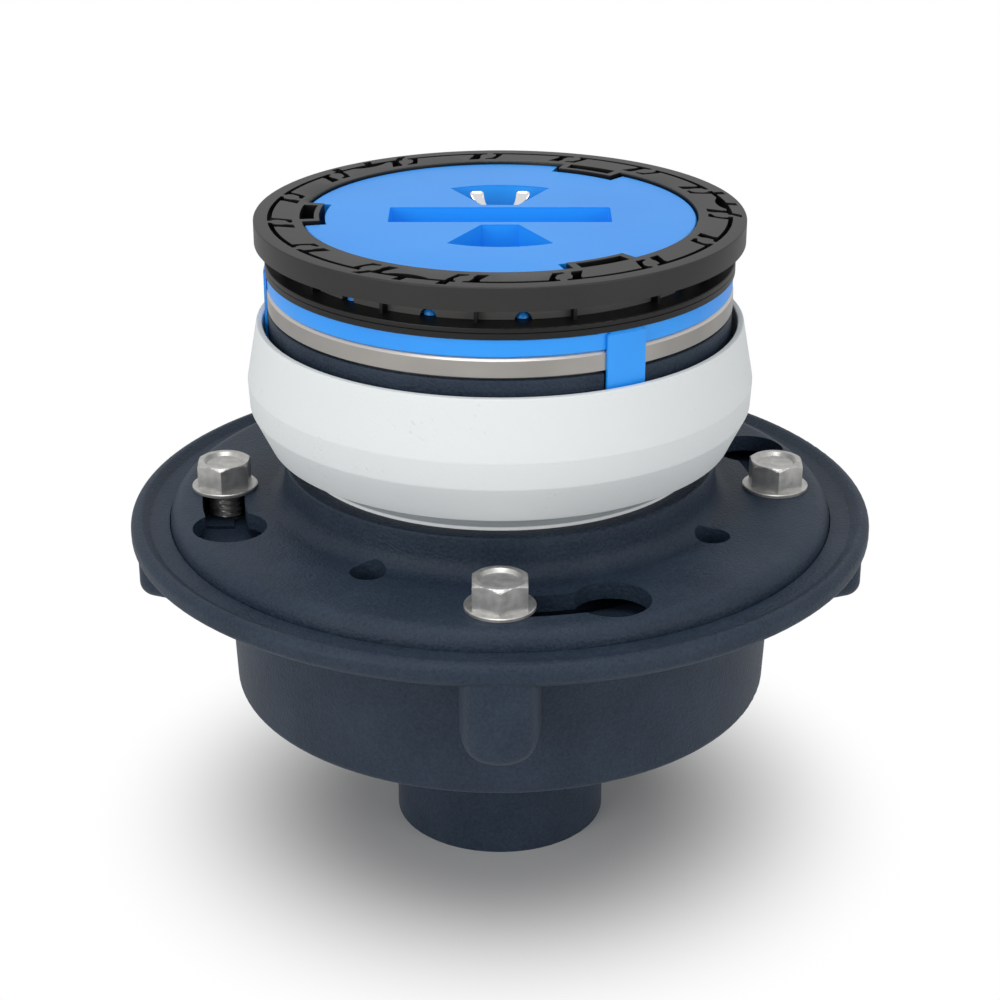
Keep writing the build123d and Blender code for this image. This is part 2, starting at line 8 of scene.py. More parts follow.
import logging
import math
from abc import ABC, abstractmethod
from dataclasses import dataclass, field
from enum import Enum
from typing import Callable, Union

import bmesh
import bpy
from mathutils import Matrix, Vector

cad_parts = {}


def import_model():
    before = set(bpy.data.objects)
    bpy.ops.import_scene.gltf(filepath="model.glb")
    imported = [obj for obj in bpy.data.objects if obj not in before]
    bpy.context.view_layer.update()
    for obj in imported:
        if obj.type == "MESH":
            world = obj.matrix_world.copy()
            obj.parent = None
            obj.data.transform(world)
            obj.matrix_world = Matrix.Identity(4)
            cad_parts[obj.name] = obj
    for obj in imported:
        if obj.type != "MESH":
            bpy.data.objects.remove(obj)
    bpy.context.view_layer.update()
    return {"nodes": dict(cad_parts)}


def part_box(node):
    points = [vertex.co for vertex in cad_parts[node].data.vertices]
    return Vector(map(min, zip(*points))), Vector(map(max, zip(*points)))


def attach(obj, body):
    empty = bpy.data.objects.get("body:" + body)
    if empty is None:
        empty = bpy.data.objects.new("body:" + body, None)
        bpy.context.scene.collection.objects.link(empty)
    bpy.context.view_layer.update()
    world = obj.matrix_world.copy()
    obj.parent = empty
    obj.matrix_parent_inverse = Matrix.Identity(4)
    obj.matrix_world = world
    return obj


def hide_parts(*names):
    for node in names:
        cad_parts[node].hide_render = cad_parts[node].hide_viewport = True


LOG = logging.getLogger("floor_drain")
MM = 0.001
WELD_GAP = 1e-6              # corners closer than this are one point
EDGE_TURN = 28.0             # a turn sharper than this many degrees is a real edge
NOISE_MIDDLE = (0.3, 0.7)    # where most of a noise's values lie

Colour = tuple[float, float, float]
Value = Union["Wire", float]
Point = tuple[float, float, float]
Loop = list[Point]
Ring = Callable[[float], tuple[float, float]]


def srgb(red: int, green: int, blue: int) -> Colour:
    """Return the linear colour of an 8-bit display colour.

    Args:
        red: Red from 0 to 255.
        green: Green from 0 to 255.
        blue: Blue from 0 to 255.

    Returns:
        The three linear parts.
    """
    def part(level: int) -> float:
        share = level / 255
        return share / 12.92 if share <= 0.04045 else ((share + 0.055) / 1.055) ** 2.4

    return part(red), part(green), part(blue)


class Maths(Enum):
    """Math node operations that a Wire's operators use."""

    ADD = "ADD"
    SUBTRACT = "SUBTRACT"
    MULTIPLY = "MULTIPLY"
    POWER = "POWER"


class Wire:
    """One output socket of a shader, with operators that add Math nodes."""

    def __init__(self, graph: Graph, socket: bpy.types.NodeSocket) -> None:
        """Keep the graph and the socket.

        Args:
            graph: The graph that owns the socket.
            socket: The output socket to wrap.
        """
        self.graph = graph
        self.socket = socket

    def _join(self, operation: Maths, first: Value, second: Value) -> Wire:
        """Add one Math node for an operator.

        Args:
            operation: What the node does.
            first: Left side of the expression.
            second: Right side of the expression.

        Returns:
            The node's result.
        """
        settings = {"operation": operation.value}
        return self.graph.add("ShaderNodeMath", settings, {0: first, 1: second})

    def __add__(self, other: Value) -> Wire:
        """Return the sum."""
        return self._join(Maths.ADD, self, other)

    def __radd__(self, other: Value) -> Wire:
        """Return the sum with a number on the left."""
        return self._join(Maths.ADD, other, self)

    def __sub__(self, other: Value) -> Wire:
        """Return the difference."""
        return self._join(Maths.SUBTRACT, self, other)

    def __rsub__(self, other: Value) -> Wire:
        """Return the difference with a number on the left."""
        return self._join(Maths.SUBTRACT, other, self)

    def __mul__(self, other: Value) -> Wire:
        """Return the product."""
        return self._join(Maths.MULTIPLY, self, other)

    def __rmul__(self, other: Value) -> Wire:
        """Return the product with a number on the left."""
        return self._join(Maths.MULTIPLY, other, self)

    def __pow__(self, other: Value) -> Wire:
        """Return the power."""
        return self._join(Maths.POWER, self, other)

    def clipped(self, low: float, high: float) -> Wire:
        """Return the value spread from low..high onto 0..1 and held there."""
        settings = {"clamp": True}
        return self.graph.add("ShaderNodeMapRange", settings, {0: self, 1: low, 2: high})

    def spread(self) -> Wire:
        """Return a noise with the middle of its range spread onto 0..1."""
        return self.clipped(*NOISE_MIDDLE)

    def past(self, edge: float, start: float, end: float) -> Wire:
        """Return 0 before an edge and 1 past it.

        Args:
            edge: Where the edge is, in metres.
            start: Where the rise begins, in millimetres from the edge.
            end: Where the rise ends, in millimetres from the edge.

        Returns:
            The share from 0 to 1.
        """
        return self.clipped(edge + start * MM, edge + end * MM)


class Graph:
    """A shader's node tree, with one method that makes every node."""

    def __init__(self, owner: bpy.types.Material | bpy.types.World) -> None:
        """Empty the owner's node tree.

        Args:
            owner: The material or world whose tree it is.
        """
        owner.use_nodes = True
        self.owner = owner
        self.tree = owner.node_tree
        self.tree.nodes.clear()

    def add(self, kind: str, settings: dict | None = None, inputs: dict | None = None,
            output: int | str = 0) -> Wire:
        """Add a node, set its settings first and then its sockets.

        Args:
            kind: The node's type name.
            settings: Attributes to set; "stops" holds a ramp's positions and colours.
            inputs: Values or wires by socket name or number.
            output: Which output to hand back.

        Returns:
            The chosen output, ready for arithmetic.
        """
        node = self.tree.nodes.new(kind)
        for key, value in (settings or {}).items():
            if key == "stops":
                self._set_stops(node.color_ramp, value)
            else:
                setattr(node, key, value)
        for key, value in (inputs or {}).items():
            if isinstance(value, Wire):
                self.tree.links.new(value.socket, node.inputs[key])
            else:
                node.inputs[key].default_value = value
        socket = node.outputs[output] if len(node.outputs) else None
        return Wire(self, socket)

    @staticmethod
    def _set_stops(ramp: bpy.types.ColorRamp, stops: list[tuple[float, Colour]]) -> None:
        """Give a colour ramp its stops.

        Args:
            ramp: The ramp to change.
            stops: Positions from 0 to 1 with their colours.
        """
        while len(ramp.elements) < len(stops):
            ramp.elements.new(1.0)
        for element, (place, colour) in zip(ramp.elements, stops):
            element.position = place
            element.color = (*colour, 1.0)

    def blend(self, factor: Value, first: Colour | Wire, second: Colour | Wire) -> Wire:
        """Return a colour between two, by a factor.

        Args:
            factor: 0 gives the first colour and 1 the second.
            first: Linear colour.
            second: Linear colour.

        Returns:
            The mixed colour.
        """
        ends = [part if isinstance(part, Wire) else (*part, 1.0) for part in (first, second)]
        node_inputs = {0: factor, 6: ends[0], 7: ends[1]}
        return self.add("ShaderNodeMix", {"data_type": "RGBA"}, node_inputs, output=2)

    def place(self) -> Wire:
        """Return the surface point in the row frame, in metres."""
        return self.add("ShaderNodeTexCoord", output="Object")

    def polar(self, where: Wire) -> tuple[Wire, Wire]:
        """Return a point's distance from the Z axis and its height."""
        x, y, z = (self.add("ShaderNodeSeparateXYZ", {}, {0: where}, output=part)
                   for part in range(3))
        return (x * x + y * y) ** 0.5, z

    def openness(self, reach: float) -> Wire:
        """Return how open a surface point is.

        Args:
            reach: How far away another surface still counts, in metres.

        Returns:
            1 in the open, falling to 0 deep in a corner.
        """
        settings = {"samples": 8, "only_local": True}
        return self.add("ShaderNodeAmbientOcclusion", settings, {"Distance": reach}, output="AO")

    def noise(self, where: Wire, scale: float, detail: float = 2.0, rough: float = 0.5) -> Wire:
        """Return smooth noise from 0 to 1.

        Args:
            where: Coordinates in metres.
            scale: Waves per metre.
            detail: Octaves.
            rough: Weight of the finer octaves.

        Returns:
            The noise value.
        """
        inputs = {"Vector": where, "Scale": scale, "Detail": detail, "Roughness": rough}
        return self.add("ShaderNodeTexNoise", {}, inputs)

    def cells(self, where: Wire, scale: float) -> Wire:
        """Return the distance to the nearest of scattered points.

        Args:
            where: Coordinates in metres.
            scale: Points per metre.

        Returns:
            0 at a point, rising away from it.
        """
        return self.add("ShaderNodeTexVoronoi", {}, {"Vector": where, "Scale": scale})

    def bump(self, height: Wire, depth: float, strength: float) -> Wire:
        """Return a normal tilted by a height.

        Args:
            height: Height from 0 to 1.
            depth: What a height of 1 stands for, in metres.
            strength: Share of the effect.

        Returns:
            The bumped normal.
        """
        inputs = {"Height": height, "Distance": depth, "Strength": strength}
        return self.add("ShaderNodeBump", {}, inputs)

    def finish(self, inputs: dict) -> bpy.types.Material:
        """Close the graph with a Principled shader.

        Args:
            inputs: Values or wires of the shader's sockets.

        Returns:
            The finished material.
        """
        shader = self.add("ShaderNodeBsdfPrincipled", {}, inputs)
        self.add("ShaderNodeOutputMaterial", {}, {"Surface": shader})
        return self.owner


@dataclass(frozen=True)
class Finish(ABC):
    """A finish of one kind of surface."""

    name: str

    @abstractmethod
    def material(self) -> bpy.types.Material:
        """Return the finish as a material."""


@dataclass(frozen=True)
class CoatedIron(Finish):
    """Sand-cast iron under a blue-black coating."""

    name: str = "coated_iron"
    dark: Colour = srgb(24, 36, 50)
    light: Colour = srgb(45, 57, 72)
    # painted shade: the colour that corners and creases are darkened towards, where shade falls
    crease_shade: Colour = srgb(9, 15, 24)
    pebble_scale: float = 1250.0
    broad_scale: float = 70.0
    grain_depth: float = 0.3 * MM
    crease_shade_reach: float = 2.5 * MM

    def material(self) -> bpy.types.Material:
        """Return the coated casting: pebbles, broad unevenness and painted shade in corners and
        creases.
        """
        graph = Graph(bpy.data.materials.new(self.name))
        where = graph.place()
        pebbles = graph.noise(where, self.pebble_scale, rough=0.6)
        broad = graph.noise(where, self.broad_scale, detail=3.0)
        tint = 0.35 * broad.spread() + 0.65 * pebbles.spread()
        # Painted shade: an occlusion mask darkens corners and creases.
        corner = 1 - graph.openness(self.crease_shade_reach).clipped(0.45, 0.95)
        coat = graph.blend(tint, self.dark, self.light)
        return graph.finish({
            "Base Color": graph.blend(corner, coat, self.crease_shade),
            "Roughness": 0.4 + 0.2 * pebbles,
            "Specular IOR Level": 0.2,
            "Normal": graph.bump(pebbles + 0.8 * broad, self.grain_depth, 0.85),
        })


@dataclass(frozen=True)
class BoltSteel(Finish):
    """Zinc-plated steel of the clamp bolts and screws."""

    name: str = "bolt_steel"
    dark: Colour = srgb(168, 167, 165)
    light: Colour = srgb(196, 195, 192)
    metallic: float = 0.8
    mottle_scale: float = 420.0
    grain_scale: float = 2600.0
    grain_depth: float = 0.02 * MM

    def material(self) -> bpy.types.Material:
        """Return plated steel with a faint mottle and a fine grain."""
        graph = Graph(bpy.data.materials.new(self.name))
        where = graph.place()
        mottle = graph.noise(where, self.mottle_scale, detail=3.0)
        grain = graph.noise(where, self.grain_scale, detail=1.0)
        return graph.finish({
            "Base Color": graph.blend(mottle.spread(), self.dark, self.light),
            "Metallic": self.metallic,
            "Roughness": 0.3 + 0.14 * mottle,
            "Normal": graph.bump(grain, self.grain_depth, 0.5),
        })


@dataclass(frozen=True)
class TurnedMetal(Finish):
    """Nickel bronze with the fine rings that turning leaves and a painted highlight on the bevel.
    """

    name: str = "nickel_bronze"
    dark: Colour = srgb(153, 150, 146)
    light: Colour = srgb(164, 161, 157)
    # painted highlight on the bevel
    bevel_highlight: Colour = srgb(208, 201, 194)
    line_scale: float = 5200.0
    cloud_scale: float = 60.0
    line_depth: float = 0.008 * MM
    bevel_radius: float = 61.0 * MM
    bevel_foot: float = 158.6 * MM

    def material(self) -> bpy.types.Material:
        """Return satin metal: fine lines round the axis, faint clouds and a painted highlight on
        the bevel.
        """
        graph = Graph(bpy.data.materials.new(self.name))
        where = graph.place()
        radius, height = graph.polar(where)
        across = graph.add("ShaderNodeCombineXYZ", {}, {"X": radius, "Y": height})
        lines = graph.noise(across, self.line_scale)
        cloud = graph.noise(where, self.cloud_scale)
        tint = graph.blend(cloud.spread(), self.dark, self.light)
        # Painted highlight: the bevel's band is painted brighter.
        bevel = radius.past(self.bevel_radius, -0.04, 0.04)
        bevel *= height.past(self.bevel_foot, -0.02, 0.06)
        return graph.finish({
            "Base Color": graph.blend(bevel, tint, self.bevel_highlight),
            "Metallic": 1.0,
            "Roughness": 0.34 + 0.1 * lines,
            "Normal": graph.bump(lines, self.line_depth, 0.5),
        })


@dataclass(frozen=True)
class Foam(Finish):
    """White closed-cell foam with a skin, scattered open cells with painted shade in them, painted
    shade in the foot groove and a painted highlight on the lip.
    """

    name: str = "white_foam"
    # painted shade in the open cells
    pit_shade: Colour = srgb(196, 202, 206)
    white: Colour = srgb(218, 222, 223)
    # painted shade in the foot groove
    groove_shade: Colour = srgb(160, 166, 170)
    # painted highlight on the lip
    lip_highlight: Colour = srgb(248, 250, 250)
    rim_top: float = 111.5 * MM
    hollow_top: float = 115.4 * MM
    cell_scale: float = 520.0
    patch_scale: float = 60.0
    skin_scale: float = 1300.0
    cell_depth: float = 0.2 * MM

    def material(self) -> bpy.types.Material:
        """Return foam: pin holes with painted shade, soft unevenness, a dull surface, painted
        shade in the foot groove and a painted highlight on the lip.
        """
        graph = Graph(bpy.data.materials.new(self.name))
        where = graph.place()
        cells = graph.cells(where, self.cell_scale)
        patches = graph.noise(where, self.patch_scale, detail=3.0)
        holes = (1 - cells.clipped(0.05, 0.3)) * patches.clipped(0.55, 0.75)
        skin = graph.noise(where, self.skin_scale)
        _, height = graph.polar(where)
        above_rim = height.past(self.rim_top, -0.2, 0.1)
        below_wall = 1 - height.past(self.hollow_top, -0.3, 0.2)
        # Painted shade: the open cells are real dents, and their darker colour is painted shade.
        colour = graph.blend(holes * 0.45, self.white, self.pit_shade)
        # Painted shade: the foot groove is painted grey.
        colour = graph.blend(above_rim * below_wall, colour, self.groove_shade)
        # Painted highlight: the lip is painted brighter than the rest of the foam.
        colour = graph.blend(1 - above_rim, colour, self.lip_highlight)
        return graph.finish({
            "Base Color": colour,
            "Roughness": 0.72 + 0.15 * skin,
            "Specular IOR Level": 0.25,
            "Normal": graph.bump(0.4 * skin - holes, self.cell_depth, 0.7),
        })


@dataclass(frozen=True)
class MouldedPlastic(Finish):
    """Moulded plastic with a fine even grain."""

    dark: Colour
    light: Colour
    roughness: float = 0.36
    specular: float = 0.62
    flow_scale: float = 26.0
    grain_scale: float = 3400.0
    grain_depth: float = 0.015 * MM

    def colour(self, graph: Graph, where: Wire) -> Wire:
        """Return the plastic's colour, with a faint flow mottle.

        Args:
            graph: The material's graph.
            where: The surface point.

        Returns:
            The colour.
        """
        flow = graph.noise(where, self.flow_scale)
        return graph.blend(flow.spread(), self.dark, self.light)

    def material(self) -> bpy.types.Material:
        """Return plastic with a fine moulded grain."""
        graph = Graph(bpy.data.materials.new(self.name))
        where = graph.place()
        grain = graph.noise(where, self.grain_scale)
        return graph.finish({
            "Base Color": self.colour(graph, where),
            "Roughness": self.roughness + 0.08 * grain,
            "Specular IOR Level": self.specular,
            "Normal": graph.bump(grain, self.grain_depth, 0.5),
        })


@dataclass(frozen=True)
class CoverPlastic(MouldedPlastic):
    """Blue plastic of the cover, with painted light on the walls of its recesses."""

    name: str = "blue_plastic"
    dark: Colour = srgb(8, 144, 240)
    light: Colour = srgb(18, 151, 246)
    # painted light on the recess walls
    recess_wall_light: Colour = srgb(38, 162, 250)
    recess_radius: float = 29.9 * MM
    disc_top: float = 177.5 * MM

    def colour(self, graph: Graph, where: Wire) -> Wire:
        """Return the colour, with painted light on the walls of the recesses.

        Args:
            graph: The material's graph.
            where: The surface point.

        Returns:
            The colour.
        """
        radius, height = graph.polar(where)
        inside = 1 - radius.past(self.recess_radius, 0.0, 0.1)
        below = 1 - height.past(self.disc_top, -0.5, -0.1)
        # Painted light: the walls of the recesses are painted lighter.
        return graph.blend(inside * below, super().colour(graph, where), self.recess_wall_light)


@dataclass(frozen=True)
class GuidePlastic(MouldedPlastic):
    """Black plastic of the guide ring, with painted shade inside its slots and on its foot and
    painted light on its neck.
    """

    name: str = "black_plastic"
    dark: Colour = srgb(35, 35, 34)
    light: Colour = srgb(41, 41, 40)
    # painted light on the neck
    neck_light: Colour = srgb(98, 97, 95)
    # painted shade in the slots and on the foot
    slot_and_foot_shade: Colour = srgb(8, 8, 8)
    roughness: float = 0.38
    specular: float = 0.3
    neck_radius: float = 56.15 * MM
    slot_radius: float = 62.4 * MM
    deck_top: float = 178.2 * MM
    foot_top: float = 167.2 * MM

    def colour(self, graph: Graph, where: Wire) -> Wire:
        """Return the colour: painted shade under the deck and on the foot, painted light on the
        neck.

        Args:
            graph: The material's graph.
            where: The surface point.

        Returns:
            The colour.
        """
        radius, height = graph.polar(where)
        inside = 1 - radius.past(self.slot_radius, 0.0, 0.1)
        below = 1 - height.past(self.deck_top, -0.4, -0.1)
        above_neck = height.past(self.foot_top, 3.4, 3.6)
        above_foot = height.past(self.foot_top, 0.1, 0.2)
        beyond = radius.past(self.neck_radius, 0.1, 0.2)
        foot = 1 - height.past(self.foot_top, -0.2, 0.2)
        # Painted shade: inside the slots under the deck and on the foot.
        shade_mask = inside * below * (above_neck + beyond * above_foot) + 0.9 * foot
        # Painted light: the neck under the skirt is painted pale.
        neck_light_mask = above_foot * (1 - above_neck) * (1 - beyond)
        body = graph.blend(neck_light_mask, super().colour(graph, where), self.neck_light)
        return graph.blend(shade_mask, body, self.slot_and_foot_shade)


@dataclass(frozen=True)
class Chrome(Finish):
    """Polished plating of the wing screw."""

    name: str = "wing_chrome"
    plating: Colour = srgb(238, 238, 240)
    wave_scale: float = 380.0
    wave_depth: float = 0.03 * MM

    def material(self) -> bpy.types.Material:
        """Return bright plating with slight waves."""
        graph = Graph(bpy.data.materials.new(self.name))
        waves = graph.noise(graph.place(), self.wave_scale, detail=1.0)
        return graph.finish({
            "Base Color": (*self.plating, 1.0),
            "Metallic": 1.0,
            "Roughness": 0.06 + 0.06 * waves,
            "Normal": graph.bump(waves, self.wave_depth, 0.4),
        })


@dataclass
class Palette:
    """The finishes of the drain, each made into a material once and kept by name."""

    iron: Finish = field(default_factory=CoatedIron)
    bolts: Finish = field(default_factory=BoltSteel)
    turned: Finish = field(default_factory=TurnedMetal)
    foam: Finish = field(default_factory=Foam)
    chrome: Finish = field(default_factory=Chrome)
    screws: Finish = field(default_factory=lambda: BoltSteel(name="screw_steel"))
    blue: Finish = field(default_factory=CoverPlastic)
    black: Finish = field(default_factory=GuidePlastic)
    made: dict[str, bpy.types.Material] = field(default_factory=dict)

    def paint(self, piece: bpy.types.Object, finish: Finish) -> None:
        """Give a piece one finish in place of what it has.

        Args:
            piece: A CAD node or a piece made here.
            finish: Its finish.
        """
        if finish.name not in self.made:
            self.made[finish.name] = finish.material()
        piece.data.materials.clear()
        piece.data.materials.append(self.made[finish.name])


def new_object(name: str, data: bpy.types.ID) -> bpy.types.Object:
    """Make an object and link it to the scene.

    Args:
        name: The new object's name.
        data: Its mesh, lamp or camera.

    Returns:
        The new object.
    """
    made = bpy.data.objects.new(name, data)
    bpy.context.scene.collection.objects.link(made)
    return made


def weld_corners(piece: bpy.types.Object) -> None:
    """Join the corners that a CAD mesh has once for each face."""
    weld = piece.modifiers.new("weld", "WELD")
    weld.merge_threshold = WELD_GAP


def drop_normals(mesh: bpy.types.Mesh) -> None:
    """Let a mesh's normals follow from its faces again."""
    mesh.normals_split_custom_set([(0.0, 0.0, 0.0)] * len(mesh.loops))


def split_edges(piece: bpy.types.Object, degrees: float = EDGE_TURN) -> None:
    """Shade a piece smoothly between its sharp edges.

    Args:
        piece: The piece.
        degrees: A turn sharper than this stays an edge.
    """
    piece.data.shade_smooth()
    edges = piece.modifiers.new("edges", "EDGE_SPLIT")
    edges.split_angle = math.radians(degrees)


def smooth_shading(piece: bpy.types.Object, degrees: float = EDGE_TURN) -> None:
    """Shade the curved faces of a CAD piece smoothly and keep its real edges.

    Args:
        piece: The piece, whose vertices stay where they are.
        degrees: A turn sharper than this stays an edge.
    """
    drop_normals(piece.data)
    weld_corners(piece)
    split_edges(piece, degrees)


def lofted_mesh(name: str, loops: list[Loop], ring: bool = False) -> bpy.types.Object:
    """Make a closed mesh through loops of points.

    Args:
        name: The new object's name.
        loops: Closed loops with as many points each, in order.
        ring: Join the last loop to the first; otherwise both are filled.

    Returns:
        The new object, linked to the scene.
    """
    size, faces = len(loops[0]), []
    for row in range(len(loops) if ring else len(loops) - 1):
        low, high = row * size, (row + 1) % len(loops) * size
        for step in range(size):
            ahead = (step + 1) % size
            faces.append((low + step, low + ahead, high + ahead, high + step))
    if not ring:
        faces.append(tuple(reversed(range(size))))
        faces.append(tuple(range((len(loops) - 1) * size, len(loops) * size)))
    mesh = bpy.data.meshes.new(name)
    mesh.from_pydata([point for loop in loops for point in loop], [], faces)
    mesh.validate()
    shape = bmesh.new()
    shape.from_mesh(mesh)
    bmesh.ops.recalc_face_normals(shape, faces=shape.faces)
    shape.to_mesh(mesh)
    shape.free()
    return new_object(name, mesh)


def plain_ring(radius: float, height: float) -> Ring:
    """Return a level circle round the Z axis as a ring."""
    return lambda angle: (radius, height)


def spun_loop(ring: Ring, steps: int) -> Loop:
    """Return the points of a ring round the Z axis.

    Args:
        ring: Gives radius and height for an angle.
        steps: Points on the ring.

    Returns:
        The loop.
    """
    loop = []
    for step in range(steps):
        angle = 2 * math.pi * step / steps
        radius, height = ring(angle)
        loop.append((radius * math.cos(angle), radius * math.sin(angle), height))
    return loop


def placed(radius: float, across: float, height: float, turn: float) -> Point:
    """Return a point given from a plane through the axis.

    Args:
        radius: Distance from the axis.
        across: Distance from the plane.
        height: Height.
        turn: Turn of the plane from the front, in radians.

    Returns:
        The point in the row frame.
    """
    angle = turn - math.pi / 2 + math.asin(across / radius)
    return radius * math.cos(angle), radius * math.sin(angle), height


@dataclass
class Assembly(ABC):
    """A group of pieces that ride on one body."""

    palette: Palette
    nodes: dict[str, bpy.types.Object]

    def dress(self, node: str, finish: Finish, degrees: float = EDGE_TURN) -> None:
        """Give a CAD node its finish and shading.

        Args:
            node: The node's name.
            finish: Its finish.
            degrees: A turn sharper than this stays an edge.
        """
        smooth_shading(self.nodes[node], degrees)
        self.palette.paint(self.nodes[node], finish)
        LOG.info("dressed %s as %s", node, finish.name)

    def coat(self, piece: bpy.types.Object, finish: Finish, degrees: float = EDGE_TURN) -> None:
        """Give a piece made here its finish and shading.

        Args:
            piece: The piece.
            finish: Its finish.
            degrees: A turn sharper than this stays an edge.
        """
        split_edges(piece, degrees)
        self.palette.paint(piece, finish)
        LOG.info("made %s of %s", piece.name, finish.name)

    @abstractmethod
    def build(self) -> None:
        """Make and dress the assembly's pieces."""


@dataclass
class Casting(Assembly):
    """The clamp collar, and the body with its tapered flange root and rounded bolt bosses."""

    bosses: int = 4
    wall_foot: tuple[float, float] = (74.4 * MM, 44.9 * MM)
    wall_top: tuple[float, float] = (76.2 * MM, 86.4 * MM)
    flange_edge: tuple[float, float] = (101.6 * MM, 91.6 * MM)
    flange_bend: tuple[float, float] = (98.3 * MM, 89.2 * MM)
    flange_under: tuple[float, float] = (92.0 * MM, 86.4 * MM)
    trim_turn: float = 9.0
    trim_steps: int = 3
    trim_beyond: float = 2.0 * MM
    trim_below: float = 8.0 * MM
    skin: float = 0.08 * MM
    overlap: float = 1.0 * MM
    boss_half: float = 10.3 * MM
    boss_face: float = 101.1 * MM
    boss_top: float = 92.2 * MM
    boss_low: float = 67.6 * MM
    boss_corner: float = 4.4 * MM
    corner_turn: float = 75.0
    corner_steps: int = 8
    boss_slope: float = 0.22
    boss_rise: float = 7.0 * MM
    boss_core: float = 73.6 * MM
    edge_power: float = 5.0
    columns: int = 40
    steps: int = 240
    edge_turn: float = 32.0

    def build(self) -> None:
        """Dress the collar, trim the body and cast the root and the bosses on it."""
        self.dress("clamp_collar", self.palette.iron, self.edge_turn)
        body = self._trimmed_body()
        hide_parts("drain_body")
        pieces = [body, lofted_mesh("flange_root", self._root_loops(), ring=True)]
        for number in range(self.bosses):
            turn = 2 * math.pi * number / self.bosses
            pieces.append(lofted_mesh(f"bolt_boss_{number + 1}", self._boss_loops(turn)))
        for piece in pieces:
            self.coat(piece, self.palette.iron, self.edge_turn)
            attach(piece, "drain")

    def _wall(self, height: float) -> float:
        """Return the radius of the sump's drafted wall at a height."""
        (foot, low), (top, high) = self.wall_foot, self.wall_top
        return foot + (top - foot) * (height - low) / (high - low)

    def _trimmed_body(self) -> bpy.types.Object:
        """Return a copy of the body without its plain bosses."""
        body = new_object("body_casting", self.nodes["drain_body"].data.copy())
        weld_corners(body)
        trims = []
        for number in range(self.bosses):
            turn = 360 * number / self.bosses
            trims.append(lofted_mesh(f"trim_{number}", self._trim_loops(turn)))
            trim = body.modifiers.new(f"trim_{number}", "BOOLEAN")
            trim.operation, trim.solver, trim.object = "DIFFERENCE", "EXACT", trims[-1]
        shape = bpy.data.meshes.new_from_object(
            body.evaluated_get(bpy.context.evaluated_depsgraph_get()))
        body.modifiers.clear()
        body.data = shape
        drop_normals(shape)
        for trim in trims:
            bpy.data.objects.remove(trim)
        return body

    def _trim_loops(self, turn: float) -> list[Loop]:
        """Return the space outside the wall and under the flange at one boss.

        Args:
            turn: Turn of the boss from the front, in degrees.

        Returns:
            The loops of the space, from one side to the other.
        """
        far, low = self.flange_edge[0] + self.trim_beyond, self.boss_low - self.trim_below
        high = self.flange_edge[1] - self.skin
        corners = [(self._wall(low) + self.skin, low), (far, low), (far, high),
                   (self.flange_edge[0] - self.skin, high),
                   (self.flange_bend[0], self.flange_bend[1] - self.skin),
                   (self.flange_under[0], self.flange_under[1] - self.skin),
                   (self.wall_top[0] + self.skin, self.flange_under[1] - self.skin)]
        loops = []
        for step in range(-self.trim_steps, self.trim_steps + 1):
            angle = math.radians(turn - 90 + self.trim_turn * step / self.trim_steps)
            loops.append([(radius * math.cos(angle), radius * math.sin(angle), height)
                          for radius, height in corners])
        return loops

    def _root_loops(self) -> list[Loop]:
        """Return the tapered root that carries the flange's underside on to the wall."""
        (bend, bend_z), (under, under_z) = self.flange_bend, self.flange_under
        fall = (bend_z - under_z) / (bend - under)
        foot = under_z - fall * (under - self.wall_top[0])
        start = (bend + under) / 2
        corners = [(start, bend_z), (start, under_z + fall * (start - under) + self.skin),
                   (under, under_z - self.skin),
                   (self._wall(foot) - self.overlap, foot - fall * self.overlap),
                   (self._wall(foot) - self.overlap, bend_z - self.overlap)]
        return [spun_loop(plain_ring(*corner), self.steps) for corner in corners]

    def _boss_loops(self, turn: float) -> list[Loop]:
        """Return a boss: upright slices across it, its face rounded at the sides and below.

        Args:
            turn: Turn of the boss from the front, in radians.

        Returns:
            The loops from one side of the boss to the other.
        """
        loops, least = [], self.boss_core + self.overlap
        for column in range(self.columns + 1):
            share = -math.cos(math.pi * column / self.columns)
            across = self.boss_half * share
            bulge = (1 - abs(share) ** self.edge_power) ** (1 / self.edge_power)
            lift = self.boss_rise * (1 - math.sqrt(max(0.0, 1 - share ** 2)))
            reach = least + (self.boss_face - least) * bulge
            loops.append([placed(radius, across, height, turn)
                          for radius, height in self._boss_slice(reach, lift)])
        return loops

    def _boss_slice(self, reach: float, lift: float) -> list[tuple[float, float]]:
        """Return one upright slice of a boss.

        Args:
            reach: Radius of the face in this slice.
            lift: How much higher the slice ends than the middle one.

        Returns:
            Radius and height of its corners.
        """
        corner = min(self.boss_corner, (reach - self.boss_core) / 2)
        low = self.boss_low + lift
        points = [(self.boss_core, self.boss_top), (reach, self.boss_top),
                  (reach, (self.boss_top + low + corner) / 2)]
        for step in range(self.corner_steps + 1):
            angle = math.radians(self.corner_turn * step / self.corner_steps)
            points.append((reach - corner * (1 - math.cos(angle)),
                           low + corner * (1 - math.sin(angle))))
        radius, height = points[-1]
        points.append((self.boss_core, height - self.boss_slope * (radius - self.boss_core)))
        return points


